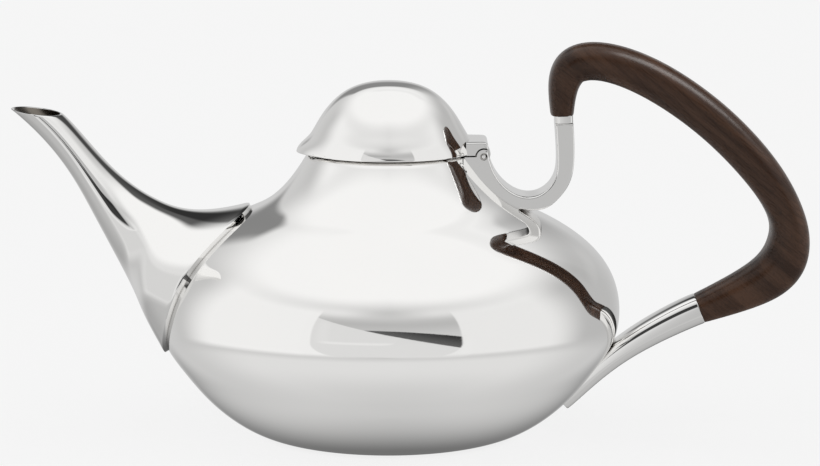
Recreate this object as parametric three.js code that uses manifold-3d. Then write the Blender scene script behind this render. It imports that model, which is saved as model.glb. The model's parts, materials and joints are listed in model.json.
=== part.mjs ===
// Silver teapot: a squat round body with a horn spout, a domed hinged lid and a looped
// wooden handle held between a U-shaped silver bracket and a tapered silver strut.
// Millimetres, +Z up. The origin is the centre of the flat base, the spout points to -X
// and the handle to +X. The pot is symmetric about the plane y = 0.

import * as THREE from "three";
import { mergeVertices } from "three/addons/utils/BufferGeometryUtils.js";
import { NURBSCurve } from "three/addons/curves/NURBSCurve.js";
import Module from "manifold-3d";

const wasm = await Module();
wasm.setup();

// ---------------------------------------------------------------- driving dimensions

const GAP = 0.3; // left between pieces that are soldered or fitted to each other
const WALL = 1.1; // raised silver sheet of the body and spout
const LID_WALL = 1.2;

const BASE_PLATE_RADIUS = 34;
const RIM_RADIUS = 29;
const RIM_HEIGHT = 101.5;
const MOUTH_RADIUS = 26; // clear mouth inside the collar that guides the lid
const LID_SEAM = 0.4; // dark line between the lid and the neck
const FLANGE_RADIUS = 28.4; // the lid's inner ring, where it is soldered into the dome
const FLANGE_DEPTH = 4.5; // how far the ring drops into the mouth
const BEAK_REACH = 2.6; // how far the lid's beak stands out towards the spout
const BOWL_SEAM = 38; // the body is raised as a bowl, a shoulder and a neck, soldered
const NECK_SEAM = 84.5; // together at these two heights

const DRAIN_HALF_WIDTH = 21; // oval hole from the body into the spout
const DRAIN_HALF_HEIGHT = 15;
const STRAINER_LAP = 3; // how far the strainer plate reaches past the hole
const STRAINER_THICKNESS = 1;
const STRAINER_HOLE_RADIUS = 1.5;
const STRAINER_PITCH = 6;

const ROOT_CENTRE_Z = 57; // egg-shaped root where the spout joins the body
const ROOT_HALF_WIDTH = 35;
const ROOT_RISE = 24; // from the centre up to the top of the root
const ROOT_DROP = 27; // from the centre down to the bottom of the root
const COLLAR_HEIGHT = 1.7; // how far the spout's edge stands proud of the body

const HINGE_X = 33.8;
const HINGE_Z = 101.2;
const PIN_RADIUS = 0.9;
const PIN_CLEARANCE = 0.08;
const PIN_WELL_RADIUS = 1.35; // shallow well round each end of the pin
const PIN_WELL_DEPTH = 0.7;
const KNUCKLE_RADIUS = 2.6;
const KNUCKLE_HALF_WIDTH = 3.5;
const HINGE_HALF_WIDTH = 11; // the bracket and the lid block at the hinge

const POST_HALF_WIDTH = 7; // the bracket where it meets the wood
const POST_X = 62.6;
const POST_TOP = 112.4;
const FERRULE_HEIGHT = 2.2;
const TANG_RADIUS = 2;
const TANG_LENGTH = 20;
const TANG_IN_POST = 9; // how much of the upper tang stands in the bracket's post

const GRIP_HALF_WIDTH = 10.5; // the wood at the middle of its length
const GRIP_END_HALF_WIDTH = 7.6;
const STRUT_HALF_WIDTH = 7.2;

// ------------------------------------------------------------------- outline points
// Each list is the control polygon of a clamped cubic B-spline. Points are [x, z], or
// [radius, z] on the two turned pieces.

const BODY_OUTLINE = [
  [40.5, 0], [48, 0], [63.5, 9.5], [75, 24.5], [84, 36.5],
  [83, 56], [71.5, 70], [52.5, 80.5], [38.5, 85], [RIM_RADIUS, RIM_HEIGHT],
];
const LID_OUTLINE = [
  [0, 127], [11, 127.5], [21.5, 120], [27, 109.5], [30, 105], [30.4, RIM_HEIGHT + LID_SEAM],
];
const SPOUT_TOP = [[-51.5, 82.3], [-70, 77.5], [-84, 83.5], [-100, 94.5], [-113, 112], [-116.5, 114.8]];
const SPOUT_BOTTOM = [[-80.4, 29.2], [-85.5, 40], [-94, 56], [-106, 79], [-118.5, 103.5], [-135, 117.2]];
const GRIP_LINE = [
  [62, 115], [61.5, 122.5], [62.5, 129.5], [66.5, 135], [78, 135], [95.5, 128], [117, 113],
  [135, 94], [144, 78.5], [144.5, 67.5], [140.5, 57], [127.5, 50.5], [112, 44.5],
];
const GRIP_HALF_DEPTH = [4.1, 4.9, 6.3, 7.2, 7, 7.2, 7.1, 6.9, 5.9, 7.8, 8.6, 6.9, 5.2];
const STRUT_LINE = [[111.6, 44.4], [107.5, 42.8], [81, 30.5], [67, 13.5], [63, 10]];
const STRUT_HALF_DEPTH = [5.2, 5.3, 4.1, 3.1, 2.8];
const BRACKET_INNER = [
  [35.1, 103.6], [35.5, 102.5], [36.5, 95], [44.5, 86.5], [53.5, 85.5], [60.5, 92], [60.5, 99.5],
  [59.4, POST_TOP],
];
const BRACKET_OUTER = [[47.5, 82], [55.5, 80.5], [61, 85.5], [66, 92], [66.5, 101], [65.8, POST_TOP]];

// ------------------------------------------------------------------ curves and solids

function spline(values) {
  const controls = values.map(([a, b]) => new THREE.Vector4(a, b, 0, 1));
  const spans = controls.length - 3;
  const inner = Array.from({ length: spans - 1 }, (_, i) => (i + 1) / spans);
  return new NURBSCurve(3, [0, 0, 0, 0, ...inner, 1, 1, 1, 1], controls);
}

function samples(values, steps) {
  const curve = spline(values);
  return Array.from({ length: steps + 1 }, (_, i) => {
    const point = curve.getPoint(i / steps);
    return new THREE.Vector2(point.x, point.y);
  });
}

// A number that varies along a piece, as a spline through the same parameter.
function varying(numbers) {
  const curve = spline(numbers.map((number) => [number, 0]));
  return (t) => curve.getPoint(t).x;
}

// The outline moved sideways by a distance; positive moves to the left of its direction.
function offset(points, distance) {
  return points.map((point, i) => {
    const before = points[Math.max(i - 1, 0)];
    const after = points[Math.min(i + 1, points.length - 1)];
    const along = after.clone().sub(before).normalize();
    return new THREE.Vector2(point.x - along.y * distance, point.y + along.x * distance);
  });
}

// The indexed triangles of a closed geometry, turned to face outwards.
function closedTriangles(geometry) {
  const bare = geometry.index ? geometry.toNonIndexed() : geometry.clone();
  bare.deleteAttribute("normal");
  bare.deleteAttribute("uv");
  const merged = mergeVertices(bare, 1e-4);
  const points = merged.attributes.position;
  const index = merged.index.array;
  const triangles = [];
  const a = new THREE.Vector3();
  const b = new THREE.Vector3();
  const c = new THREE.Vector3();
  let volume = 0;
  for (let i = 0; i < index.length; i += 3) {
    const [p, q, r] = [index[i], index[i + 1], index[i + 2]];
    if (p === q || q === r || r === p) continue;
    triangles.push([p, q, r]);
    a.fromBufferAttribute(points, p);
    b.fromBufferAttribute(points, q);
    c.fromBufferAttribute(points, r);
    volume += a.dot(b.cross(c));
  }
  const outward = volume < 0 ? triangles.map(([p, q, r]) => [p, r, q]) : triangles;
  return { points: points.array, triangles: outward.flat() };
}

function solid(geometry) {
  const { points, triangles } = closedTriangles(geometry);
  return new wasm.Manifold(new wasm.Mesh({
    numProp: 3,
    vertProperties: new Float32Array(points),
    triVerts: new Uint32Array(triangles),
  }));
}

function geometryOf(manifold) {
  const mesh = manifold.getMesh();
  const geometry = new THREE.BufferGeometry();
  const positions = new Float32Array(mesh.numVert * 3);
  for (let i = 0; i < mesh.numVert; i += 1) {
    for (let k = 0; k < 3; k += 1) positions[i * 3 + k] = mesh.vertProperties[i * mesh.numProp + k];
  }
  geometry.setAttribute("position", new THREE.BufferAttribute(positions, 3));
  geometry.setIndex(new THREE.BufferAttribute(new Uint32Array(mesh.triVerts), 1));
  return geometry;
}

// A closed skin through a row of rings; the ends are capped, or joined when it is a loop.
function loft(rings, isLoop = false) {
  const count = rings[0].length;
  const vertices = rings.flat();
  const faces = [];
  const last = isLoop ? rings.length : rings.length - 1;
  for (let i = 0; i < last; i += 1) {
    const next = ((i + 1) % rings.length) * count;
    for (let j = 0; j < count; j += 1) {
      const k = (j + 1) % count;
      faces.push([i * count + j, i * count + k, next + k], [i * count + j, next + k, next + j]);
    }
  }
  if (!isLoop) {
    for (const [ring, flip] of [[0, true], [rings.length - 1, false]]) {
      const centre = new THREE.Vector3();
      rings[ring].forEach((point) => centre.addScaledVector(point, 1 / count));
      vertices.push(centre);
      const hub = vertices.length - 1;
      for (let j = 0; j < count; j += 1) {
        const edge = [ring * count + j, ring * count + ((j + 1) % count)];
        faces.push(flip ? [hub, edge[1], edge[0]] : [hub, edge[0], edge[1]]);
      }
    }
  }
  const geometry = new THREE.BufferGeometry().setFromPoints(vertices);
  geometry.setIndex(faces.flat());
  return geometry;
}

function turned(profile, segments) {
  return new THREE.LatheGeometry(profile, segments).rotateX(Math.PI / 2);
}

// A ring of rectangular section about the Z axis.
function ring(innerRadius, outerRadius, bottom, top, segments) {
  const corners = [
    [innerRadius, bottom], [outerRadius, bottom], [outerRadius, top], [innerRadius, top],
    [innerRadius, bottom],
  ];
  return turned(corners.map(([r, z]) => new THREE.Vector2(r, z)), segments);
}

// A round bar along Y, centred on y = 0.
function crossBar(x, z, radius, length) {
  return new THREE.CylinderGeometry(radius, radius, length, 24).translate(x, 0, z);
}

// A round bar that starts at a point and runs along a direction in the XZ plane.
function rod(start, direction, radius, length) {
  const bar = new THREE.CylinderGeometry(radius, radius, length, 16).translate(0, length / 2, 0);
  const along = new THREE.Vector3(direction.x, 0, direction.y).normalize();
  bar.applyQuaternion(new THREE.Quaternion().setFromUnitVectors(new THREE.Vector3(0, 1, 0), along));
  return bar.translate(start.x, 0, start.y);
}

// A plate cut to an XZ outline, lying between y = -halfWidth and y = halfWidth.
function plate(outline, halfWidth, bevel) {
  const geometry = new THREE.ExtrudeGeometry(new THREE.Shape(outline), {
    depth: 2 * (halfWidth - bevel),
    bevelEnabled: bevel > 0,
    bevelThickness: bevel,
    bevelSize: bevel,
    bevelOffset: -bevel,
    bevelSegments: 1,
  });
  return geometry.rotateX(Math.PI / 2).translate(0, halfWidth - bevel, 0);
}

// A bar swept along an XZ spline. Its section is a rounded rectangle, given by half sizes
// in the plane and across it; a higher power squares the corners.
function sweptBar(line, halfDepths, halfWidthAt, { steps, around, power }) {
  const curve = spline(line);
  const halfDepthAt = varying(halfDepths);
  const rings = [];
  for (let i = 0; i <= steps; i += 1) {
    const t = i / steps;
    const centre = curve.getPoint(t);
    const along = curve.getTangent(t);
    const depth = halfDepthAt(t);
    const width = halfWidthAt(t);
    rings.push(Array.from({ length: around }, (_, j) => {
      const angle = (2 * Math.PI * j) / around;
      const squared = (value) => Math.sign(value) * Math.abs(value) ** (2 / power);
      const inPlane = depth * squared(Math.cos(angle));
      return new THREE.Vector3(
        centre.x - along.y * inPlane,
        width * squared(Math.sin(angle)),
        centre.y + along.x * inPlane,
      );
    }));
  }
  return loft(rings);
}

function smoothStep(value) {
  const t = Math.min(Math.max(value, 0), 1);
  return t * t * (3 - 2 * t);
}

// ------------------------------------------------------------------------------ body

const BODY_STEPS = 20;
const ROUND = 48;

// The body as a full solid, grown by a distance: what other pieces are cut back from.
function bodyMass(growth) {
  const outline = offset(samples(BODY_OUTLINE, BODY_STEPS), -growth);
  const top = outline.at(-1);
  const profile = [
    new THREE.Vector2(0, -growth),
    new THREE.Vector2(BODY_OUTLINE[0][0], -growth),
    ...outline.slice(1),
    new THREE.Vector2(0, top.y),
  ];
  return solid(turned(profile, ROUND));
}

const FINE_OUTLINE = samples(BODY_OUTLINE, 400);

function bodyRadiusAt(height) {
  const above = Math.max(FINE_OUTLINE.findIndex((point) => point.y > height), 1);
  const low = FINE_OUTLINE[above - 1];
  const high = FINE_OUTLINE[above];
  return low.x + ((high.x - low.x) * (height - low.y)) / (high.y - low.y);
}

// An upright oval bar along X that passes through the middle of the spout's root.
function ovalBar(halfWidth, halfHeight) {
  const bar = new THREE.CylinderGeometry(1, 1, 60, 32).rotateZ(Math.PI / 2);
  return bar.scale(1, halfWidth, halfHeight).translate(-80, 0, ROOT_CENTRE_Z);
}

// The body's wall between two heights, with the hole that lets the tea into the spout.
function bodyBetween(bottom, top) {
  const outside = samples(BODY_OUTLINE, BODY_STEPS);
  const inside = offset(outside, WALL).filter((point) => point.y > WALL).reverse();
  inside[0].set(RIM_RADIUS - WALL, RIM_HEIGHT);
  const holeRadius = BASE_PLATE_RADIUS + GAP;
  const profile = [
    new THREE.Vector2(holeRadius, 0),
    ...outside,
    ...inside,
    new THREE.Vector2(holeRadius, WALL),
    new THREE.Vector2(holeRadius, 0),
  ];
  const slab = new THREE.BoxGeometry(200, 200, top - bottom).translate(0, 0, (bottom + top) / 2);
  return solid(turned(profile, ROUND))
    .subtract(solid(ovalBar(DRAIN_HALF_WIDTH, DRAIN_HALF_HEIGHT)))
    .intersect(solid(slab));
}

function basePlate() {
  const disc = new THREE.CylinderGeometry(BASE_PLATE_RADIUS, BASE_PLATE_RADIUS, WALL, 48);
  return solid(disc.rotateX(Math.PI / 2).translate(0, 0, WALL / 2));
}

function mouthCollar() {
  return solid(ring(MOUTH_RADIUS, RIM_RADIUS - WALL - GAP, RIM_HEIGHT - 5, RIM_HEIGHT, ROUND));
}

// A curved plate pierced with rows of holes, fitted inside the body behind the spout.
function strainer() {
  const outline = samples(BODY_OUTLINE, BODY_STEPS);
  const nearSpout = (point) => Math.abs(point.y - ROOT_CENTRE_Z) < ROOT_DROP;
  const outside = offset(outline, WALL + GAP).filter(nearSpout);
  const inside = offset(outline, WALL + GAP + STRAINER_THICKNESS).filter(nearSpout).reverse();
  const skin = solid(turned([...outside, ...inside, outside[0].clone()], ROUND));
  let pierced = skin.intersect(
    solid(ovalBar(DRAIN_HALF_WIDTH + STRAINER_LAP, DRAIN_HALF_HEIGHT + STRAINER_LAP)),
  );
  const rowHeight = STRAINER_PITCH * Math.sin(Math.PI / 3);
  for (let row = -2; row <= 2; row += 1) {
    const count = 6 - Math.abs(row);
    for (let i = 0; i < count; i += 1) {
      const hole = new THREE.CylinderGeometry(STRAINER_HOLE_RADIUS, STRAINER_HOLE_RADIUS, 60, 8);
      hole.rotateZ(Math.PI / 2);
      hole.translate(-80, (i - (count - 1) / 2) * STRAINER_PITCH, ROOT_CENTRE_Z + row * rowHeight);
      pierced = pierced.subtract(solid(hole));
    }
  }
  return pierced;
}

// ----------------------------------------------------------------------------- spout

const SPOUT_STEPS = 15;
const SPOUT_AROUND = 32;
const SPOUT_HALF_WIDTH_AT = varying([35, 30, 17, 11.5, 10, 10.2]);
const COLLAR_END = 0.04; // share of the spout's length taken by its collar
const ROOT_REACH = 0.45; // share of the length over which the root's curved edge dies out

// Where the spout's edge lies on the body, and the body's outward normal there.
function rootEdge(around) {
  const y = ROOT_HALF_WIDTH * Math.sin(around);
  const reach = Math.cos(around) > 0 ? ROOT_RISE : ROOT_DROP;
  const z = ROOT_CENTRE_Z + reach * Math.cos(around);
  const x = -Math.sqrt(bodyRadiusAt(z) ** 2 - y * y);
  return new THREE.Vector3(x, y, z);
}

function bodyNormalAt(point) {
  const slope = (bodyRadiusAt(point.z + 0.2) - bodyRadiusAt(point.z - 0.2)) / 0.4;
  const radius = Math.hypot(point.x, point.y);
  return new THREE.Vector3(point.x / radius, point.y / radius, -slope).normalize();
}

// A point near the body, moved square to the body's surface until it stands this far off it.
function standingOff(point, distance) {
  const normal = bodyNormalAt(point);
  const excess = Math.hypot(point.x, point.y) - bodyRadiusAt(point.z);
  const away = excess * Math.hypot(normal.x, normal.y);
  return point.clone().addScaledVector(normal, distance - away);
}

// An upright oval section of the spout between its top and bottom lines.
function spoutOval(along, around, insideBy) {
  const top = spline(SPOUT_TOP).getPoint(along);
  const bottom = spline(SPOUT_BOTTOM).getPoint(along);
  const up = new THREE.Vector2(top.x - bottom.x, top.y - bottom.y);
  const rise = (up.length() / 2 - insideBy) * Math.cos(around);
  up.normalize();
  return new THREE.Vector3(
    (top.x + bottom.x) / 2 + up.x * rise,
    (SPOUT_HALF_WIDTH_AT(along) - insideBy) * Math.sin(around),
    (top.y + bottom.y) / 2 + up.y * rise,
  );
}

// A point of the spout's skin. Along runs from 0 at the root to 1 at the mouth; around is
// the angle from the top line. The root stands proud of the body by the collar's height.
function spoutPoint(along, around, insideBy) {
  const edge = rootEdge(around);
  const root = edge.addScaledVector(bodyNormalAt(edge), COLLAR_HEIGHT);
  const shift = root.sub(spoutOval(0, around, 0));
  const share = 1 - smoothStep(along / ROOT_REACH);
  return spoutOval(along, around, insideBy).addScaledVector(shift, share);
}

function roundSpout(makePoint) {
  return Array.from({ length: SPOUT_AROUND }, (_, j) => makePoint((2 * Math.PI * j) / SPOUT_AROUND));
}

// The spout as a full solid that reaches into the body, from past its collar to its mouth.
function horn(insideBy) {
  const start = COLLAR_END + 0.004;
  const rings = [roundSpout((around) => standingOff(spoutPoint(start, around, insideBy), -4))];
  for (let i = 0; i <= SPOUT_STEPS; i += 1) {
    const along = start + ((1 - start) * i) / SPOUT_STEPS;
    rings.push(roundSpout((around) => spoutPoint(along, around, insideBy)));
  }
  if (insideBy > 0) {
    rings.push(rings.at(-1).map((point) => point.clone().add(new THREE.Vector3(-1, 0, 2))));
  }
  return solid(loft(rings));
}

// The spout is formed in two long halves, soldered along its top and bottom lines. Side is 1
// for the half at +Y and -1 for the half at -Y.
function spoutHalf(side) {
  const half = new THREE.BoxGeometry(120, 60, 120).translate(-90, side * (30 + GAP / 2), 80);
  return horn(0).subtract(horn(WALL)).subtract(bodyMass(GAP)).intersect(solid(half));
}

// The band round the spout's root: a square edge that stands up from the body.
function spoutCollar() {
  return solid(loft(roundSpout((around) => {
    const edge = rootEdge(around);
    const normal = bodyNormalAt(edge);
    const inner = spoutPoint(COLLAR_END, around, 0);
    return [
      edge.clone().addScaledVector(normal, GAP),
      edge.clone().addScaledVector(normal, COLLAR_HEIGHT),
      inner,
      standingOff(inner, GAP),
    ];
  }), true));
}

// ------------------------------------------------------------------------------- lid

const LID_STEPS = 11;
const LID_ROUND = 40;

// The beak: the dome's lower edge is drawn out to a point towards the spout.
function beak(geometry) {
  const points = geometry.attributes.position;
  for (let i = 0; i < points.count; i += 1) {
    const [x, y, z] = [points.getX(i), points.getY(i), points.getZ(i)];
    const radius = Math.hypot(x, y);
    const turn = Math.abs(Math.atan2(y, -x));
    const lowness = smoothStep((RIM_HEIGHT + 8 - z) / 8);
    const growth = 1 + (BEAK_REACH / RIM_RADIUS) * lowness * (1 - smoothStep(turn / 0.75));
    if (radius > 0) points.setXY(i, x * growth, y * growth);
  }
  return geometry;
}

// The lid as a full solid, grown by a distance, with a plug below it that fills the mouth.
function lidMass(growth) {
  const outline = offset(samples(LID_OUTLINE, LID_STEPS), growth);
  outline[0].x = 0;
  const foot = HINGE_Z - 6;
  const profile = [...outline, new THREE.Vector2(outline.at(-1).x, foot), new THREE.Vector2(0, foot)];
  return solid(beak(turned(profile, LID_ROUND)));
}

function lidDome() {
  const outside = samples(LID_OUTLINE, LID_STEPS);
  const inside = offset(outside, -LID_WALL).slice(1).reverse();
  inside[0].y = outside.at(-1).y;
  const profile = [...outside, ...inside, new THREE.Vector2(0, outside[0].y - LID_WALL)];
  return solid(beak(turned(profile, LID_ROUND)));
}

// An angled ring inside the lid; its lower wall drops into the mouth and centres the lid.
function lidFlange() {
  const outer = MOUTH_RADIUS - LID_SEAM;
  const inner = outer - 1;
  const under = RIM_HEIGHT + LID_SEAM + 0.2;
  const foot = RIM_HEIGHT - FLANGE_DEPTH;
  const corners = [
    [inner, foot], [outer, foot], [outer, under], [FLANGE_RADIUS, under],
    [FLANGE_RADIUS, under + 1], [inner, under + 1], [inner, foot],
  ];
  return solid(turned(corners.map(([r, z]) => new THREE.Vector2(r, z)), LID_ROUND));
}

function lidHingeBlock() {
  const sit = KNUCKLE_RADIUS + GAP;
  const bottom = HINGE_Z + GAP;
  const outline = [
    new THREE.Vector2(24, bottom),
    new THREE.Vector2(HINGE_X, bottom),
    new THREE.Vector2(HINGE_X + 1.7, HINGE_Z + 2.6),
    new THREE.Vector2(HINGE_X + 0.9, HINGE_Z + 4.3),
    new THREE.Vector2(HINGE_X - 0.4, HINGE_Z + 5.1),
    new THREE.Vector2(24, HINGE_Z + 5.1),
  ];
  const knuckle = solid(crossBar(HINGE_X, HINGE_Z, KNUCKLE_RADIUS, 2 * KNUCKLE_HALF_WIDTH));
  const neck = solid(new THREE.BoxGeometry(2.2, 2 * KNUCKLE_HALF_WIDTH, 4)
    .translate(HINGE_X - 0.6, 0, HINGE_Z + 2.4));
  return solid(plate(outline, HINGE_HALF_WIDTH, 0.4))
    .subtract(solid(crossBar(HINGE_X, HINGE_Z, sit, 40)))
    .add(knuckle.add(neck))
    .subtract(lidMass(GAP))
    .subtract(bodyMass(GAP))
    .subtract(solid(crossBar(HINGE_X, HINGE_Z, PIN_RADIUS + PIN_CLEARANCE, 40)));
}

// ---------------------------------------------------------------------- upper bracket

// The plate narrows from the hinge towards the wood.
function narrowed(geometry) {
  const points = geometry.attributes.position;
  for (let i = 0; i < points.count; i += 1) {
    const share = Math.min(Math.max((POST_X - points.getX(i)) / (POST_X - HINGE_X), 0), 1);
    const halfWidth = POST_HALF_WIDTH + (HINGE_HALF_WIDTH - POST_HALF_WIDTH) * share;
    points.setY(i, (points.getY(i) * halfWidth) / HINGE_HALF_WIDTH);
  }
  return geometry;
}

function arc(centreX, centreZ, radius, from, to, steps) {
  return Array.from({ length: steps + 1 }, (_, i) => {
    const angle = from + ((to - from) * i) / steps;
    return new THREE.Vector2(centreX + radius * Math.cos(angle), centreZ + radius * Math.sin(angle));
  });
}

const POST_AXIS = new THREE.Vector2(-0.05, 1).normalize();

function upperBracket() {
  const outline = [
    new THREE.Vector2(24, HINGE_Z),
    ...arc(HINGE_X, HINGE_Z, KNUCKLE_RADIUS, Math.PI, Math.PI / 3, 8),
    ...samples(BRACKET_INNER, 20).slice(1),
    ...samples(BRACKET_OUTER, 14).reverse(),
    new THREE.Vector2(36, 80),
    new THREE.Vector2(24, 90),
  ];
  const slotWidth = 2 * (KNUCKLE_HALF_WIDTH + GAP);
  const slot = solid(crossBar(HINGE_X, HINGE_Z, KNUCKLE_RADIUS + GAP, slotWidth))
    .add(solid(new THREE.BoxGeometry(14, slotWidth, 5).translate(HINGE_X - 4, 0, HINGE_Z + 2.5)));
  let bracket = solid(narrowed(plate(outline, HINGE_HALF_WIDTH, 0.6)))
    .subtract(bodyMass(GAP))
    .subtract(slot)
    .subtract(solid(crossBar(HINGE_X, HINGE_Z, PIN_RADIUS + PIN_CLEARANCE, 40)))
    .subtract(tangHole(upperTangStart(), POST_AXIS));
  for (const side of [-1, 1]) {
    const well = crossBar(HINGE_X, HINGE_Z, PIN_WELL_RADIUS, 4);
    well.translate(0, side * (HINGE_HALF_WIDTH - PIN_WELL_DEPTH + 2), 0);
    bracket = bracket.subtract(solid(well));
  }
  return bracket;
}

function hingePin() {
  return solid(crossBar(HINGE_X, HINGE_Z, PIN_RADIUS, 2 * (HINGE_HALF_WIDTH - 0.2)));
}

function upperFerrule() {
  const halfDepth = 3.25;
  const rounding = 0.8;
  const [a, b] = [halfDepth - rounding, POST_HALF_WIDTH + 0.1 - rounding];
  const section = new THREE.Shape();
  section.absarc(a, b, rounding, 0, Math.PI / 2);
  section.absarc(-a, b, rounding, Math.PI / 2, Math.PI);
  section.absarc(-a, -b, rounding, Math.PI, Math.PI * 1.5);
  section.absarc(a, -b, rounding, Math.PI * 1.5, Math.PI * 2);
  const block = new THREE.ExtrudeGeometry(section, {
    depth: FERRULE_HEIGHT, bevelEnabled: false, curveSegments: 4,
  });
  block.rotateY(Math.atan2(POST_AXIS.x, POST_AXIS.y)).translate(POST_X, 0, POST_TOP + GAP);
  return solid(block).subtract(tangHole(upperTangStart(), POST_AXIS));
}

// ---------------------------------------------------------------- handle and its tangs

function upperTangStart() {
  return new THREE.Vector2(POST_X, POST_TOP).addScaledVector(POST_AXIS, -TANG_IN_POST);
}

// The strut's end at the wood, and the direction from there into the wood.
const STRUT_END = new THREE.Vector2(...GRIP_LINE.at(-1));
const STRUT_AXIS = STRUT_END.clone().sub(new THREE.Vector2(...STRUT_LINE[1])).normalize();

function lowerTangStart() {
  return STRUT_END.clone().addScaledVector(STRUT_AXIS, -TANG_LENGTH / 2);
}

function tang(start, direction) {
  return solid(rod(start, direction, TANG_RADIUS, TANG_LENGTH));
}

function tangHole(start, direction) {
  const early = start.clone().addScaledVector(direction, -GAP);
  return solid(rod(early, direction, TANG_RADIUS + GAP, TANG_LENGTH + 2 * GAP));
}

function woodGrip() {
  const halfWidthAt = varying([
    GRIP_END_HALF_WIDTH, 8.6, GRIP_HALF_WIDTH, GRIP_HALF_WIDTH, GRIP_HALF_WIDTH, 9.4,
    GRIP_END_HALF_WIDTH,
  ]);
  const bar = sweptBar(GRIP_LINE, GRIP_HALF_DEPTH, halfWidthAt, { steps: 34, around: 16, power: 2.8 });
  return solid(bar)
    .subtract(tangHole(upperTangStart(), POST_AXIS))
    .subtract(tangHole(lowerTangStart(), STRUT_AXIS));
}

function lowerStrut() {
  const halfWidthAt = varying([STRUT_HALF_WIDTH, STRUT_HALF_WIDTH, 6.8, 5.5, 5]);
  const bar = sweptBar(STRUT_LINE, STRUT_HALF_DEPTH, halfWidthAt, { steps: 16, around: 16, power: 3.2 });
  return solid(bar)
    .subtract(bodyMass(GAP))
    .subtract(tangHole(lowerTangStart(), STRUT_AXIS));
}

// -------------------------------------------------------------------------- assembly

const silver = { color: 0xd9d9d6, roughness: 0.06, metalness: 1 };
const innerSilver = { color: 0xc6c4be, roughness: 0.28, metalness: 1 };
const steel = { color: 0x9b9b9b, roughness: 0.3, metalness: 1 };
const darkWood = { color: 0x3a2a22, roughness: 0.42, metalness: 0 };

const pieces = [
  ["body_bowl", () => bodyBetween(0, BOWL_SEAM - GAP / 2), silver],
  ["body_shoulder", () => bodyBetween(BOWL_SEAM + GAP / 2, NECK_SEAM - GAP / 2), silver],
  ["body_neck", () => bodyBetween(NECK_SEAM + GAP / 2, RIM_HEIGHT), silver],
  ["base_plate", basePlate, silver],
  ["mouth_collar", mouthCollar, innerSilver],
  ["strainer_plate", strainer, innerSilver],
  ["spout_half_left", () => spoutHalf(-1), silver],
  ["spout_half_right", () => spoutHalf(1), silver],
  ["spout_collar", spoutCollar, silver],
  ["lid_dome", lidDome, silver],
  ["lid_flange", lidFlange, innerSilver],
  ["lid_hinge_block", lidHingeBlock, silver],
  ["hinge_pin", hingePin, silver],
  ["upper_bracket", upperBracket, silver],
  ["upper_ferrule", upperFerrule, silver],
  ["upper_tang", () => tang(upperTangStart(), POST_AXIS), steel],
  ["wood_grip", woodGrip, darkWood],
  ["lower_tang", () => tang(lowerTangStart(), STRUT_AXIS), steel],
  ["lower_strut", lowerStrut, silver],
];

const group = new THREE.Group();
for (const [name, make, look] of pieces) {
  const mesh = new THREE.Mesh(geometryOf(make()), new THREE.MeshStandardMaterial(look));
  mesh.name = name;
  group.add(mesh);
}

export default group;
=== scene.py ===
"""A silver teapot with a dark wooden handle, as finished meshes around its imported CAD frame.

Shapes are given in millimetres in the frame's own axes (+Z up, spout to -X, handle to +X) and
become metres when a mesh is made. Every outline is a clamped cubic B-spline, because polished
silver shows each kink of a surface in what it reflects.
"""

import json
import math

import bmesh
import bpy
import numpy as np
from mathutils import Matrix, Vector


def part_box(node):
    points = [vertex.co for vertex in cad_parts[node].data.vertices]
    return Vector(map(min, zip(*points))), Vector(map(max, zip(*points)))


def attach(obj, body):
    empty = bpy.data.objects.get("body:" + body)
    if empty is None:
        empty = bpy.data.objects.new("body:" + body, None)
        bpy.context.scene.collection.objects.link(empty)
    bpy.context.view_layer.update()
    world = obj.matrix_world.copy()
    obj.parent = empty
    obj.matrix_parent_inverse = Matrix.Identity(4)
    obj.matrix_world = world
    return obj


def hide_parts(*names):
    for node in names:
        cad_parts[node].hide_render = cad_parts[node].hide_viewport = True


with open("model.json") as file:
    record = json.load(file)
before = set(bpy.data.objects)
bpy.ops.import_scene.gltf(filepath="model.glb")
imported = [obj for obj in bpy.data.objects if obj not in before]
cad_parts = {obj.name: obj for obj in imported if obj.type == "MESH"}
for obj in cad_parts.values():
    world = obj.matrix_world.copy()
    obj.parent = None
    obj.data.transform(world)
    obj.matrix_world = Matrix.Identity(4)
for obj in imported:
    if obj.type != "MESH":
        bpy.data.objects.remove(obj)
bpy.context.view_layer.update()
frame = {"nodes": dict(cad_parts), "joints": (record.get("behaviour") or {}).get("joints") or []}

MM = 0.001

# ----------------------------------------------------------------------- driving dimensions

WALL = 1.1  # raised silver sheet of the body and spout
LID_WALL = 1.2
EMBED = 0.5  # how deep a soldered piece reaches into the wall that carries it
ROUND = 192  # segments of a large turned piece

RIM_RADIUS = 29
RIM_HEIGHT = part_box("body_neck")[1][2] / MM
MOUTH_RADIUS = 26
BASE_PLATE_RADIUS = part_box("base_plate")[1][0] / MM
MOUTH_COLLAR_DEPTH = 5
LID_SEAM = 0.4
BEAK_REACH = 2.6

ROOT_CENTRE_Z = 57
ROOT_HALF_WIDTH = 35
ROOT_RISE = 24
ROOT_DROP = 27
COLLAR_HEIGHT = 1.7
DRAIN_HALF_WIDTH = 21
DRAIN_HALF_HEIGHT = 15

HINGE = frame["joints"][0]["pos_m"]
HINGE_X = HINGE[0] / MM
HINGE_Z = HINGE[2] / MM
PIN_RADIUS = 0.9
PIN_WELL_RADIUS = 1.35
PIN_WELL_DEPTH = 0.7
KNUCKLE_RADIUS = 2.6
KNUCKLE_CLEARANCE = 0.4
KNUCKLE_HALF_WIDTH = 3.5
HINGE_HALF_WIDTH = 11
MATING_EDGE = 0.12  # share of the bevel left where the lid's block and the bracket meet

POST_HALF_WIDTH = 7
POST_X = 62.6
POST_TOP = 112.4

# -------------------------------------------------------------------------- outline points
# Control polygons. Points are [x, z], or [radius, z] on the turned pieces.

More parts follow.
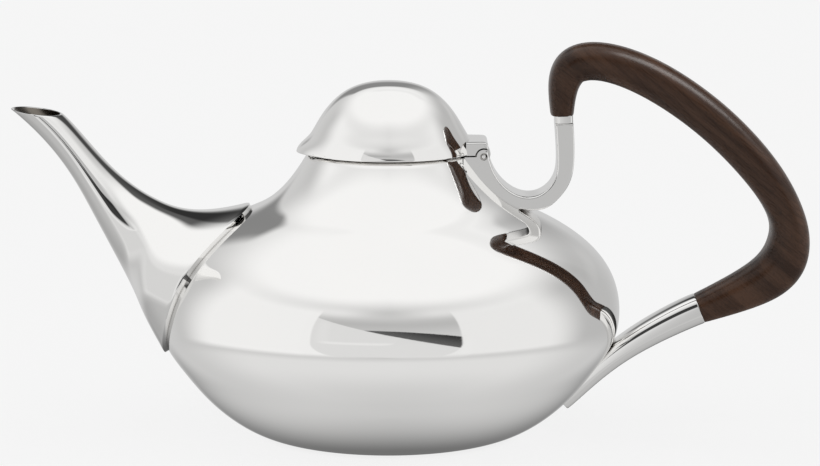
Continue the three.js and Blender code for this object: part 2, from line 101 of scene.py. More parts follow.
BODY_OUTLINE = [
    [40.5, 0], [48, 0], [63.5, 9.5], [75, 24.5], [84, 36.5],
    [83, 56], [71.5, 70], [52.5, 80.5], [38.5, 85], [RIM_RADIUS, RIM_HEIGHT],
]
LID_OUTLINE = [
    [0, 127.1], [11, 127.1], [21.5, 120], [27, 109.5], [30, 105], [30.4, RIM_HEIGHT + LID_SEAM],
]
SPOUT_TOP = [[-51.5, 82.3], [-70, 77.5], [-84, 83.5], [-100, 94.5], [-113, 112], [-116.5, 114.8]]
SPOUT_BOTTOM = [[-80.4, 29.2], [-85.5, 40], [-94, 56], [-106, 79], [-118.5, 103.5], [-135, 117.2]]
SPOUT_HALF_WIDTH = [35, 30, 17, 11.5, 10, 10.2]
GRIP_LINE = [
    [62, 115], [61.8, 122.5], [62.8, 129.2], [67, 134.2], [78, 134.6], [95.5, 127.9], [117, 113],
    [135, 94], [144, 78.5], [144.5, 67.5], [140.5, 57], [127.5, 50.5], [112, 44.5],
]
GRIP_HALF_DEPTH = [4.1, 4.9, 6.1, 6.6, 6.7, 7.1, 7.1, 6.9, 5.9, 7.8, 8.6, 6.9, 5.2]
GRIP_HALF_WIDTH = [7.6, 8.6, 10.5, 10.5, 10.5, 9.4, 7.6]
STRUT_LINE = [[112.15, 44.57], [107.5, 42.8], [81, 30.5], [67, 13.5], [63, 10]]
STRUT_HALF_DEPTH = [5.2, 5.3, 4.1, 3.1, 2.8]
STRUT_HALF_WIDTH = [7.2, 7.2, 6.8, 5.5, 5]
BRACKET_INNER = [
    [35.1, 103.6], [35.5, 102.5], [36.5, 95], [44.5, 86.5], [53.5, 85.5], [60.5, 92], [60.5, 99.5],
    [59.4, POST_TOP],
]
BRACKET_OUTER = [[47.5, 82], [55.5, 80.5], [61, 85.5], [66, 92], [66.5, 101], [65.8, POST_TOP]]


# --------------------------------------------------------------------------- curves, meshes

def spline_at(controls, t):
    """Points at parameters t of the clamped, evenly knotted cubic B-spline."""
    controls = np.asarray(controls, float)
    t = np.clip(np.asarray(t, float), 0, 1 - 1e-9)
    knots = np.concatenate([np.zeros(3), np.linspace(0, 1, len(controls) - 2), np.ones(3)])
    basis = [((knots[i] <= t) & (t < knots[i + 1])).astype(float) for i in range(len(knots) - 1)]
    for degree in (1, 2, 3):
        raised = []
        for i in range(len(basis) - 1):
            rise = knots[i + degree] - knots[i]
            fall = knots[i + degree + 1] - knots[i + 1]
            value = np.zeros_like(t)
            if rise > 0:
                value = value + (t - knots[i]) / rise * basis[i]
            if fall > 0:
                value = value + (knots[i + degree + 1] - t) / fall * basis[i + 1]
            raised.append(value)
        basis = raised
    return np.tensordot(np.array(basis), controls, axes=(0, 0))


def spline(controls, count, start=0.0, end=1.0):
    return spline_at(controls, np.linspace(start, end, count))


def tangents(points):
    """Unit directions along an open row of points."""
    ahead = np.gradient(points, axis=0)
    return ahead / np.linalg.norm(ahead, axis=1, keepdims=True)


def offset(points, distance):
    """The open outline moved to the left of its direction."""
    along = tangents(points)
    return points + distance * np.stack([-along[:, 1], along[:, 0]], axis=1)


def arc(centre, radius, start_degrees, end_degrees, count):
    angles = np.radians(np.linspace(start_degrees, end_degrees, count))
    across = centre[0] + radius * np.cos(angles)
    up = centre[1] + radius * np.sin(angles)
    return np.stack([across, up], axis=1)


def smooth(value):
    """A step from 0 to 1 with no kink in its slope or its bend."""
    t = np.clip(value, 0, 1)
    return t**3 * (t * (6 * t - 15) + 10)


def grid_faces(rows, columns, close_rows=False, close_columns=True):
    """Quads over a grid of points, row by row; either direction can close on itself."""
    faces = []
    for i in range(rows if close_rows else rows - 1):
        below = i * columns
        above = ((i + 1) % rows) * columns
        for j in range(columns if close_columns else columns - 1):
            k = (j + 1) % columns
            faces.append((below + j, below + k, above + k, above + j))
    return faces


def placed(name, data):
    """A new object in the scene that holds this mesh, lamp or camera."""
    obj = bpy.data.objects.new(name, data)
    bpy.context.scene.collection.objects.link(obj)
    return obj


def make_piece(name, points, faces, material, body, replaced=(), sharp_degrees=38,
               lining=None, lined=()):
    """A smooth-shaded mesh object from points in millimetres, riding on a CAD body."""
    mesh = bpy.data.meshes.new(name)
    mesh.from_pydata([tuple(point) for point in np.asarray(points, float) * MM], [], faces)
    obj = placed(name, mesh)
    weld(mesh)
    mesh.shade_smooth()
    mesh.set_sharp_from_angle(angle=math.radians(sharp_degrees))
    for face in mesh.polygons:
        face.use_smooth = len(face.vertices) <= 4
    mesh.materials.append(material)
    if lining:
        mesh.materials.append(lining)
        for index in lined:
            mesh.polygons[index].material_index = 1
    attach(obj, body)
    if replaced:
        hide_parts(*replaced)
    return obj


def weld(mesh):
    """Merges points that coincide, drops faces without area and turns all faces outwards."""
    work = bmesh.new()
    work.from_mesh(mesh)
    bmesh.ops.remove_doubles(work, verts=work.verts, dist=1e-6)
    bmesh.ops.dissolve_degenerate(work, edges=work.edges, dist=1e-7)
    stray = [edge for edge in work.edges if not edge.link_faces]
    bmesh.ops.delete(work, geom=stray, context="EDGES")
    bmesh.ops.recalc_face_normals(work, faces=work.faces)
    work.to_mesh(mesh)
    work.free()
    mesh.update()


def turned(profile, segments=ROUND):
    """The closed profile of [radius, z] points spun about the Z axis, as (points, faces)."""
    angles = np.linspace(0, 2 * math.pi, segments, endpoint=False)
    rings = [
        np.stack([r * np.cos(angles), r * np.sin(angles), np.full(segments, z)], axis=1)
        for r, z in profile
    ]
    return np.concatenate(rings), grid_faces(len(profile), segments, close_rows=True)


def rounded_lip(outer_end, inner_end, steps=6):
    """Points of a flattened half circle between two ends of a wall, without the ends."""
    flatness = 0.6
    outer_end = np.asarray(outer_end, float)
    inner_end = np.asarray(inner_end, float)
    middle = (outer_end + inner_end) / 2
    reach = (outer_end - inner_end) / 2
    ahead = np.array([-reach[1], reach[0]])
    angles = np.linspace(0, math.pi, steps + 2)[1:-1, None]
    return middle + reach * np.cos(angles) + flatness * ahead * np.sin(angles)


# ------------------------------------------------------------------------------------- body

BODY_ROWS = 150
FINE_BODY = spline(BODY_OUTLINE, 1200)


def body_radius(height):
    return np.interp(height, FINE_BODY[:, 1], FINE_BODY[:, 0])


def body_normal(points):
    """Outward unit normals of the body's surface beside points near it."""
    step = 0.2
    slope = (body_radius(points[:, 2] + step) - body_radius(points[:, 2] - step)) / (2 * step)
    radius = np.hypot(points[:, 0], points[:, 1])
    normal = np.stack([points[:, 0] / radius, points[:, 1] / radius, -slope], axis=1)
    return normal / np.linalg.norm(normal, axis=1, keepdims=True)


def standing_off(points, distance):
    """Points moved square to the body's surface until they stand this far off it."""
    normal = body_normal(points)
    excess = np.hypot(points[:, 0], points[:, 1]) - body_radius(points[:, 2])
    away = excess * np.hypot(normal[:, 0], normal[:, 1])
    return points + normal * (distance - away)[:, None]


def held_outside(points, core):
    """Points inside a turned core moved along X, on the handle's side, until they are on it."""
    reach = np.sqrt(np.maximum(core**2 - points[:, 1] ** 2, 0))
    return np.stack([np.maximum(points[:, 0], reach), points[:, 1], points[:, 2]], axis=1)


def held_outside_core(points):
    """Points that would come through the body's wall, moved out to the middle of the wall."""
    return held_outside(points, body_radius(points[:, 2]) - EMBED)


def in_drain(centre):
    """Whether a point of the body's wall lies in the oval hole behind the spout."""
    x, y, z = centre
    across = y / DRAIN_HALF_WIDTH
    up = (z - ROOT_CENTRE_Z) / DRAIN_HALF_HEIGHT
    return x < 0 and across * across + up * up < 1


def make_body(material):
    thinnest = 0.3
    base_gap = 0.05
    outside = spline(BODY_OUTLINE, BODY_ROWS)
    inside = offset(outside, WALL)
    inside[:, 1] = np.maximum(inside[:, 1], WALL)
    inside[:, 0] = np.minimum(inside[:, 0], outside[:, 0] - thinnest)
    hole = BASE_PLATE_RADIUS + base_gap
    lip = rounded_lip(outside[-1], inside[-1])
    profile = np.concatenate([[[hole, 0]], outside, lip, inside[::-1], [[hole, WALL]]])
    points, faces = turned(profile)
    points, faces = cut_drain(points, faces, len(outside), len(lip))
    return make_piece("pot_body", points, faces, material, "pot",
                      ["body_bowl", "body_shoulder", "body_neck"], sharp_degrees=50)


def cut_drain(points, faces, rows, lip_rows):
    """Opens the hole behind the spout in both skins of the wall and joins the two edges."""
    first_outer = 1
    last_inner = 1 + 2 * rows + lip_rows - 1

    def partner(vertex):
        row = vertex // ROUND
        return (first_outer + last_inner - row) * ROUND + vertex % ROUND

    opened = {f for f in faces if f[0] // ROUND <= rows and in_drain(points[list(f)].mean(axis=0))}
    doors = opened | {tuple(partner(v) for v in f) for f in opened}
    door_sets = {frozenset(f) for f in doors}
    kept = [f for f in faces if frozenset(f) not in door_sets]
    edges = {}
    for f in opened:
        for a, b in zip(f, f[1:] + f[:1]):
            edges[frozenset((a, b))] = edges.get(frozenset((a, b)), 0) + 1
    for edge, uses in edges.items():
        if uses == 1:
            a, b = edge
            kept.append((a, b, partner(b), partner(a)))
    used = sorted({v for f in kept for v in f})
    place = {v: i for i, v in enumerate(used)}
    return points[used], [tuple(place[v] for v in f) for f in kept]


def make_base_plate(material):
    radius = BASE_PLATE_RADIUS
    rounding = 0.4
    hollow = 0.25  # how far the middle stands clear of the table
    flat = radius - 4
    profile = np.concatenate([
        [[0, hollow], [flat, hollow]],
        arc((radius - rounding, rounding), rounding, -90, 0, 4),
        arc((radius - rounding, WALL - rounding), rounding, 0, 90, 4),
        [[flat, WALL], [0, WALL]],
    ])
    points, faces = turned(profile)
    return make_piece("base_disc", points, faces, material, "pot", ["base_plate"])


def make_mouth_collar(material):
    clearance = 0.1
    below_rim = 0.05
    rounding = 0.35
    outer = RIM_RADIUS - WALL - clearance
    inner = MOUTH_RADIUS
    top = RIM_HEIGHT - below_rim
    bottom = RIM_HEIGHT - MOUTH_COLLAR_DEPTH
    profile = np.concatenate([
        arc((inner + rounding, bottom + rounding), rounding, 180, 270, 5),
        arc((outer - rounding, bottom + rounding), rounding, 270, 360, 5),
        arc((outer - rounding, top - rounding), rounding, 0, 90, 5),
        arc((inner + rounding, top - rounding), rounding, 90, 180, 5),
    ])
    points, faces = turned(profile)
    return make_piece("mouth_ring", points, faces, material, "pot", ["mouth_collar"])


# ------------------------------------------------------------------------------------ spout

SPOUT_ROWS = 120
SPOUT_AROUND = 144
ROOT_REACH = 0.45  # share of the length over which the root's curved edge dies out
AROUND = np.linspace(0, 2 * math.pi, SPOUT_AROUND, endpoint=False)


def root_edge():
    """Where the spout's edge lies on the body, all round."""
    y = ROOT_HALF_WIDTH * np.sin(AROUND)
    reach = np.where(np.cos(AROUND) > 0, ROOT_RISE, ROOT_DROP)
    z = ROOT_CENTRE_Z + reach * np.cos(AROUND)
    return np.stack([-np.sqrt(body_radius(z) ** 2 - y**2), y, z], axis=1)


def spout_oval(along, inside_by):
    """One oval between the spout's upper and lower outlines."""
    top = spline_at(SPOUT_TOP, [along])[0]
    bottom = spline_at(SPOUT_BOTTOM, [along])[0]
    half_width = spline_at(SPOUT_HALF_WIDTH, [along])[0] - inside_by
    up = top - bottom
    half_height = np.linalg.norm(up) / 2 - inside_by
    up = up / np.linalg.norm(up)
    rise = half_height * np.cos(AROUND)
    middle = (top + bottom) / 2
    x = middle[0] + up[0] * rise
    y = half_width * np.sin(AROUND)
    z = middle[1] + up[1] * rise
    return np.stack([x, y, z], axis=1)


def spout_ring(along, inside_by):
    """One ring of the spout's skin; the root stands proud of the body by the collar's height."""
    edge = root_edge()
    root = edge + body_normal(edge) * COLLAR_HEIGHT
    shift = root - spout_oval(0, 0)
    return spout_oval(along, inside_by) + shift * (1 - smooth(along / ROOT_REACH))


def make_spout(material, painted_shade_lining):
    edge = root_edge()
    normal = body_normal(edge)
    bevel = 0.25
    sunk = 0.15  # how deep the spout's edges reach into the body's wall
    lip_reach = 0.35
    foot = edge - normal * sunk
    corner = [edge + normal * (COLLAR_HEIGHT - bevel * (1 - math.sin(a))) for a in (0, 0.5)]
    skin = [spout_ring(along, 0) for along in np.linspace(0.003, 1, SPOUT_ROWS)]
    lining = [spout_ring(along, WALL) for along in np.linspace(1, 0.06, SPOUT_ROWS // 2)]
    ahead = skin[-1] - skin[-2]
    ahead = ahead / np.linalg.norm(ahead, axis=1, keepdims=True)
    lip = []
    for angle in np.linspace(0, math.pi, 7)[1:-1]:
        middle = (skin[-1] + lining[0]) / 2
        reach = (skin[-1] - lining[0]) / 2
        lip.append(middle + reach * math.cos(angle) + ahead * lip_reach * math.sin(angle))
    inner_foot = standing_off(lining[-1], -sunk)
    rings = [foot, *corner, *skin, *lip, *lining, inner_foot]
    points = np.concatenate(rings)
    faces = grid_faces(len(rings), SPOUT_AROUND, close_rows=True)
    # The spout's inner faces take the second material, whose darker colour is painted shade inside the
    # spout.
    first_lined = (len(rings) - 1 - len(lining)) * SPOUT_AROUND
    return make_piece("spout_horn", points, faces, material, "pot",
                      ["spout_half_left", "spout_half_right", "spout_collar"],
                      lining=painted_shade_lining, lined=range(first_lined, len(faces)))


# -------------------------------------------------------------------------------------- lid

LID_ROWS = 90


def beak(points):
    """The dome's lower edge is drawn out to a point towards the spout."""
    height = 8
    half_spread = 0.75  # radians
    turn = np.abs(np.arctan2(points[:, 1], -points[:, 0]))
    lowness = smooth((RIM_HEIGHT + height - points[:, 2]) / height)
    growth = 1 + (BEAK_REACH / RIM_RADIUS) * lowness * (1 - smooth(turn / half_spread))
    return points * np.stack([growth, growth, np.ones(len(points))], axis=1)


def make_lid_dome(material):
    outside = spline(LID_OUTLINE, LID_ROWS)
    inside = offset(outside, -LID_WALL)
    inside[0] = [0, outside[0, 1] - LID_WALL]
    inside[-1, 1] = outside[-1, 1]
    rounding = 0.2
    outside[-1, 1] += rounding
    edge = np.array([
        [outside[-1, 0] - 0.06, outside[-1, 1] - rounding * 0.75],
        [outside[-1, 0] - rounding, outside[-1, 1] - rounding],
    ])
    points, faces = turned(np.concatenate([outside, edge, inside[::-1]]))
    return make_piece("lid_cap", beak(points), faces, material, "lid", ["lid_dome"])


def make_lid_flange(material):
    low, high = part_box("lid_flange")
    thickness = 1
    rounding = 0.3
    sunk = 0.6  # how far its upper edge reaches into the dome's wall
    outer = MOUTH_RADIUS - LID_SEAM
    inner = outer - thickness
    wide = high[0] / MM + sunk
    foot = low[2] / MM
    top = high[2] / MM
    under = top - thickness
    profile = np.concatenate([
        arc((inner + rounding, foot + rounding), rounding, 180, 270, 4),
        arc((outer - rounding, foot + rounding), rounding, 270, 360, 4),
        [[outer, under], [wide, under], [wide, top]],
        arc((inner + rounding, top - rounding), rounding, 90, 180, 4),
    ])
    points, faces = turned(profile)
    return make_piece("lid_ring", points, faces, material, "lid", ["lid_flange"])


# ---------------------------------------------------------------------- plates cut to shape

def width_share(x):
    """The hinge and bracket narrow evenly from the lid towards the wood."""
    share = np.maximum((POST_X - x) / (POST_X - HINGE_X), 0)
    return (POST_HALF_WIDTH + (HINGE_HALF_WIDTH - POST_HALF_WIDTH) * share) / HINGE_HALF_WIDTH


def inset(outline, distance, held):
    """The closed outline moved inwards, except where held is 0."""
    after = np.roll(outline, -1, axis=0)
    twice_area = np.sum(outline[:, 0] * after[:, 1] - after[:, 0] * outline[:, 1])
    ahead = after - outline
    ahead = ahead / np.maximum(np.linalg.norm(ahead, axis=1, keepdims=True), 1e-9)
    behind = np.roll(ahead, 1, axis=0)
    both = (ahead + behind) * math.copysign(1, twice_area)
    inward = np.stack([-both[:, 1], both[:, 0]], axis=1)
    inward = inward / np.maximum(np.linalg.norm(inward, axis=1, keepdims=True), 1e-9)
    return outline + inward * (distance * held)[:, None]


def plate_levels(half_width, bevel, step_at):
    """(y, inset) pairs from one face of a plate in to y = step_at, with a rounded edge."""
    cap_margin = 0.3
    rounded = [(half_width - bevel + bevel * math.sin(a), bevel * (1 - math.cos(a)))
               for a in np.linspace(math.pi / 2, 0, 5)]
    front = [(half_width, bevel + cap_margin), *rounded]
    flat = np.linspace(half_width - bevel, step_at, 4)[1:-1]
    return front + [(y, 0) for y in flat] + [(step_at, 0)]


def capped_loft(slices):
    """Closed outlines joined one after another, and each end closed by one flat face."""
    columns = len(slices[0])
    points = np.concatenate(slices)
    faces = grid_faces(len(slices), columns)
    last = (len(slices) - 1) * columns
    faces.append(tuple(range(columns)))
    faces.append(tuple(range(last, last + columns)))
    return points, faces


def knuckled_plate(ear, middle, held, half_width, bevel, step_at, trim):
    """A plate whose outline changes, at y = +-step_at, from the ears' to the middle's."""
    levels = plate_levels(half_width, bevel, step_at)
    slices = []
    for y, depth in levels:
        slices.append(lift(inset(ear, depth, held), y, trim))
    for y in np.linspace(step_at, -step_at, 5):
        slices.append(lift(middle, y, trim))
    for y, depth in reversed(levels):
        slices.append(lift(inset(ear, depth, held), -y, trim))
    return capped_loft(slices)


def lift(outline, y, trim):
    """The outline at one level of the plate, whose flat sides draw together away from the pot."""
    points = np.stack([outline[:, 0], y * width_share(outline[:, 0]), outline[:, 1]], axis=1)
    points = trim(points)
    points[:, 1] = y * width_share(points[:, 0])
    return points


def lid_radius(height):
    fine = spline(LID_OUTLINE, 600)[::-1]
    return np.interp(height, fine[:, 1], fine[:, 0])


def held_outside_dome(points):
    return held_outside(points, lid_radius(points[:, 2]) - EMBED)


def make_lid_block(material):
    pivot = (HINGE_X, HINGE_Z)
    bottom = HINGE_Z + KNUCKLE_CLEARANCE
    top = HINGE_Z + 5.1
    start = 27.5  # inside the dome's wall
    bevel = 0.45
    clear = KNUCKLE_RADIUS + KNUCKLE_CLEARANCE
    meets_floor = 180 - math.degrees(math.asin((bottom - HINGE_Z) / clear))
    meets_shoulder = 57
    arc_count = 29
    over = arc(pivot, clear, meets_floor, meets_shoulder, arc_count)
    under = arc(pivot, KNUCKLE_RADIUS, meets_floor, 360 + meets_shoulder, arc_count)
    shoulder = spline([[HINGE_X + 1.7, HINGE_Z + 2.6], [HINGE_X + 1.75, HINGE_Z + 3.4],
                       [HINGE_X + 1.4, HINGE_Z + 4.9], [HINGE_X + 0.2, top], [HINGE_X - 1.5, top]], 12)
    run = np.linspace([HINGE_X - 2.2, top], [start, top], 10)
    back = np.linspace([start, top], [start, bottom], 12)[1:-1]
    floor = np.linspace([start, bottom], [HINGE_X - clear - 0.4, bottom], 6)
    ear = np.concatenate([floor, over, shoulder, run, back])
    middle = np.concatenate([floor, under, shoulder, run, back])
    held = np.ones(len(ear))
    held[:len(floor) + len(over)] = MATING_EDGE
    held[-len(back) - 1:] = 0
    held[0] = 0
    points, faces = knuckled_plate(ear, middle, held, HINGE_HALF_WIDTH, bevel,
                                   KNUCKLE_HALF_WIDTH, held_outside_dome)
    return make_piece("hinge_block", points, faces, material, "lid", ["lid_hinge_block"])


def make_bracket(material):
    pivot = np.array([HINGE_X, HINGE_Z])
    clear = KNUCKLE_RADIUS + KNUCKLE_CLEARANCE
    inner = spline(BRACKET_INNER, 400)
    gap = np.linalg.norm(inner - pivot, axis=1)
    leaves = int(np.argmax((gap > clear) & (inner[:, 1] < HINGE_Z)))
    exit_point = inner[leaves]
    exit_angle = math.degrees(math.atan2(exit_point[1] - HINGE_Z, exit_point[0] - HINGE_X))
    start_x = 27  # inside the neck's wall
    bevel = 0.6
    shelf = np.linspace([start_x, HINGE_Z], [HINGE_X - clear - 0.3, HINGE_Z], 6)
    boss = arc(pivot, KNUCKLE_RADIUS, 180, 62, 22)
    descent = inner[np.linspace(0, leaves, 14).astype(int)]
    ear_path = np.concatenate([boss, descent])
    slot_path = arc(pivot, clear, 180, 360 + exit_angle, len(ear_path))
    share = leaves / (len(inner) - 1)
    run = spline(BRACKET_INNER, 150, share, 1)[1:]
    outer = spline(BRACKET_OUTER, 120)[::-1]
    low = outer[-1, 1]
    back = np.stack([np.full(40, start_x), np.linspace(low, HINGE_Z, 40)], axis=1)[:-1]
    foot = np.linspace(outer[-1], back[0], 8)[1:-1]
    ear = np.concatenate([shelf, ear_path, run, outer, foot, back])
    middle = np.concatenate([shelf, slot_path, run, outer, foot, back])
    held = np.ones(len(ear))
    held[:len(shelf) + len(boss)] = MATING_EDGE
    held[-len(foot) - len(back):] = 0
    held[0] = 0
    points, faces = knuckled_plate(ear, middle, held, HINGE_HALF_WIDTH, bevel,
                                   KNUCKLE_HALF_WIDTH + KNUCKLE_CLEARANCE,
                                   held_outside_core)
    columns = len(ear)
    last = len(points) - columns
    faces = faces[:-2]
    points, faces = cap_with_well(points, faces, 0, columns, 1)
    points, faces = cap_with_well(points, faces, last, columns, -1)
    return make_piece("bracket", points, faces, material, "pot", ["upper_bracket"])


def cap_with_well(points, faces, first, columns, side):
    """Closes one end of the plate round a shallow recess for the end of the hinge pin."""
    count = 48
    outline = points[first:first + columns]

    def nearest(x):
        return int(np.argmin(np.hypot(outline[:, 0] - x, outline[:, 2] - HINGE_Z)))

    before = nearest(HINGE_X - KNUCKLE_RADIUS)
    after = nearest(HINGE_X + KNUCKLE_RADIUS)
    angles = np.linspace(math.pi, -math.pi, count, endpoint=False)
    x = HINGE_X + PIN_WELL_RADIUS * np.cos(angles)
    z = HINGE_Z + PIN_WELL_RADIUS * np.sin(angles)
    face_y = side * HINGE_HALF_WIDTH * width_share(x)
    floor_y = np.full(count, side * (HINGE_HALF_WIDTH - PIN_WELL_DEPTH))
    rim = len(points)
    mouth = np.stack([x, face_y, z], axis=1)
    floor = np.stack([x, floor_y, z], axis=1)
    points = np.concatenate([points, mouth, floor])
    half = count // 2
    over = [first + i for i in range(before, after + 1)] + [rim + i for i in range(half, -1, -1)]
    rest = [first + i % columns for i in range(after, before + columns + 1)]
    under = rest + [rim] + [rim + i for i in range(count - 1, half - 1, -1)]
    faces = faces + [tuple(over), tuple(under), tuple(range(rim + count, rim + 2 * count))]
    for i in range(count):
        k = (i + 1) % count
        faces.append((rim + i, rim + k, rim + count + k, rim + count + i))
    return points, faces


# ------------------------------------------------------------------------------ swept bars

def swept_bar(line, half_depths, half_widths, rows, around, power, rounding):
    """A bar along an XZ spline with a squared oval section and rounded ends."""
    cap_margin = 0.4
    end_zone = rounding * 1.2
    t = np.linspace(0, 1, rows)
    centres = spline_at(line, t)
    along = tangents(centres)
    depth = spline_at(half_depths, t)
    width = spline_at(half_widths, t)
    length = np.concatenate([[0], np.cumsum(np.linalg.norm(np.diff(centres, axis=0), axis=1))])
    angles = np.linspace(0, 2 * math.pi, around, endpoint=False)
    across_plane = np.sign(np.cos(angles)) * np.abs(np.cos(angles)) ** (2 / power)
    across = np.sign(np.sin(angles)) * np.abs(np.sin(angles)) ** (2 / power)
    rings = []

    def ring(i, inside_by, push):
        in_plane = (depth[i] - inside_by) * across_plane
        centre = centres[i] + along[i] * push
        return np.stack([centre[0] - along[i, 1] * in_plane, (width[i] - inside_by) * across,
                         centre[1] + along[i, 0] * in_plane], axis=1)

    turns = np.linspace(0, math.pi / 2, 5)
    for a in turns[::-1]:
        rings.append(ring(0, rounding * (1 - math.cos(a)), rounding * (1 - math.sin(a))))
    for i in range(1, rows - 1):
        if end_zone < length[i] < length[-1] - end_zone:
            rings.append(ring(i, 0, 0))
    for a in turns:
        rings.append(ring(rows - 1, rounding * (1 - math.cos(a)), -rounding * (1 - math.sin(a))))
    rings.insert(0, ring(0, rounding + cap_margin, 0))
    rings.append(ring(rows - 1, rounding + cap_margin, 0))
    return capped_loft(rings)


def make_grip(material):
    points, faces = swept_bar(GRIP_LINE, GRIP_HALF_DEPTH, GRIP_HALF_WIDTH,
                              rows=240, around=96, power=2.8, rounding=0.5)
    return make_piece("handle_grip", points, faces, material, "pot", ["wood_grip"])


def make_strut(material):
    points, faces = swept_bar(STRUT_LINE, STRUT_HALF_DEPTH, STRUT_HALF_WIDTH,
                              rows=120, around=96, power=3.6, rounding=0.35)
    return make_piece("strut", held_outside_core(points), faces, material, "pot",
                      ["lower_strut"])


def make_ferrule(material):
    low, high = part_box("upper_ferrule")
    gap = 0.05
    lean = 0.05
    into_wood = 0.35
    foot = np.array([POST_X, POST_TOP + gap])
    axis = np.array([-lean, 1]) / math.hypot(lean, 1)
    height = (high[2] - low[2]) / MM + into_wood
    line = [foot + axis * height * share for share in (0, 1 / 3, 2 / 3, 1)]
    depth = 3.25
    width = POST_HALF_WIDTH + 0.1
    points, faces = swept_bar(line, [depth] * 4, [width] * 4,
                              rows=9, around=96, power=7, rounding=0.25)
    return make_piece("ferrule", points, faces, material, "pot", ["upper_ferrule"])


def make_pin(material):
    around = 48
    rounding = 0.5
    half = HINGE_HALF_WIDTH - 0.2
    end = arc((0, 0), rounding, 0, 90, 6)
    angles = np.linspace(0, 2 * math.pi, around, endpoint=False)
    levels = [(half - rounding + dy, PIN_RADIUS - rounding + dr) for dr, dy in end[::-1]]
    levels = levels + [(-y, r) for y, r in reversed(levels)]
    rings = []
    for y, r in levels:
        x = HINGE_X + r * np.cos(angles)
        z = HINGE_Z + r * np.sin(angles)
        rings.append(np.stack([x, np.full(around, y), z], axis=1))
    points, faces = capped_loft(rings)
    return make_piece("pin", points, faces, material, "pot", ["hinge_pin"])


# -------------------------------------------------------------------------------- materials

class Graph:
    """Short calls that build a node tree. A value is a number, a tuple or another output."""

    def __init__(self, tree):
        self.tree = tree
        self.tree.nodes.clear()

    def put(self, socket, value):
        if isinstance(value, bpy.types.NodeSocket):
            self.tree.links.new(value, socket)
        else:
            socket.default_value = value

    def node(self, kind, inputs=None, **settings):
        made = self.tree.nodes.new(kind)
        for key, value in settings.items():
            setattr(made, key, value)
        for key, value in (inputs or {}).items():
            self.put(made.inputs[key], value)
        return made

    def math(self, operation, *values):
        return self.node("ShaderNodeMath", dict(enumerate(values)), operation=operation).outputs[0]

    def step(self, value, low, high, start=0.0, end=1.0):
        inputs = {"Value": value, "From Min": low, "From Max": high, "To Min": start, "To Max": end}
        return self.node("ShaderNodeMapRange", inputs, interpolation_type="SMOOTHSTEP").outputs[0]

    def fade(self, value, low, high):
        """1 below low, falling smoothly to 0 above high."""
        return self.step(value, low, high, 1.0, 0.0)

    def band(self, value, start, full, still_full, end):
        """0 outside start and end, 1 between full and still_full, and smooth between them."""
        return self.math("MULTIPLY", self.step(value, start, full),
                         self.fade(value, still_full, end))

    def blend(self, share, a, b):
        """A number between a and b."""
        made = self.node("ShaderNodeMix", data_type="FLOAT")
        for index, value in ((0, share), (2, a), (3, b)):
            self.put(made.inputs[index], value)
        return made.outputs[0]

    def colours(self, share, a, b):
        """A colour between a and b."""
        made = self.node("ShaderNodeMix", data_type="RGBA")
        for index, value in ((0, share), (6, a), (7, b)):
            self.put(made.inputs[index], value)
        return made.outputs[2]

    def noise(self, vector, scale, detail=4.0, roughness=0.55):
        inputs = {"Vector": vector, "Scale": scale, "Detail": detail, "Roughness": roughness}
        return self.node("ShaderNodeTexNoise", inputs).outputs[0]

    def stretched(self, vector, scale, rotation=(0.0, 0.0, 0.0)):
        inputs = {"Vector": vector, "Scale": scale, "Rotation": rotation}
        return self.node("ShaderNodeMapping", inputs).outputs[0]

    def place(self):
        return self.node("ShaderNodeTexCoord").outputs["Object"]

    def bump(self, height, strength, distance):
        inputs = {"Height": height, "Strength": strength, "Distance": distance}
        return self.node("ShaderNodeBump", inputs).outputs[0]


def new_material(name):
    made = bpy.data.materials.new(name)
    made.use_nodes = True
    return made, Graph(made.node_tree)


def finish_surface(g, inputs):
    shader = g.node("ShaderNodeBsdfPrincipled", inputs)
    g.node("ShaderNodeOutputMaterial", {"Surface": shader.outputs[0]})


def polished_silver(name, scratch_scale):
    """Mirror-polished silver: fine polishing lines, faint haze, and painted shade that darkens tight
    corners.
    """
    made, g = new_material(name)
    place = g.place()
    haze = g.noise(place, 38.0, 3.0)
    lines = g.noise(g.stretched(place, scratch_scale), 1.0, 5.0, 0.65)
    scratches = g.step(lines, 0.52, 0.78)
    edges = g.step(g.node("ShaderNodeNewGeometry").outputs["Pointiness"], 0.53, 0.62)
    rough = g.math("ADD", g.step(haze, 0.35, 0.75, 0.025, 0.05), g.math("MULTIPLY", scratches, 0.035))
    rough = g.math("ADD", rough, g.math("MULTIPLY", edges, 0.05))
    corner = g.node("ShaderNodeAmbientOcclusion", {"Distance": 0.0018}, samples=8).outputs["AO"]
    # Painted shade: where ambient occlusion finds a tight corner, the colour darkens towards near
    # black.
    painted_corner_shade = g.step(corner, 0.25, 0.75, 1.0, 0.0)
    clean = g.colours(haze, (0.965, 0.957, 0.94, 1), (0.94, 0.935, 0.925, 1))
    colour = g.colours(g.math("MULTIPLY", painted_corner_shade, 0.8), clean, (0.16, 0.14, 0.12, 1))
    finish_surface(g, {
        "Base Color": colour, "Metallic": 1.0, "Roughness": rough,
        "Normal": g.bump(lines, 0.04, 0.00002),
    })
    return made


def satin_silver(name, light, shade):
    """An unpolished inside: lines left by turning, and a soft uneven sheen."""
    made, g = new_material(name)
    place = g.place()
    lines = g.noise(g.stretched(place, (60.0, 60.0, 5200.0)), 1.0, 4.0, 0.7)
    patches = g.noise(place, 55.0, 4.0)
    rough = g.math("ADD", g.step(lines, 0.3, 0.7, 0.2, 0.32), g.math("MULTIPLY", patches, 0.1))
    colour = g.colours(patches, light, shade)
    finish_surface(g, {
        "Base Color": colour, "Metallic": 1.0, "Roughness": rough,
        "Normal": g.bump(lines, 0.2, 0.00006),
    })
    return made


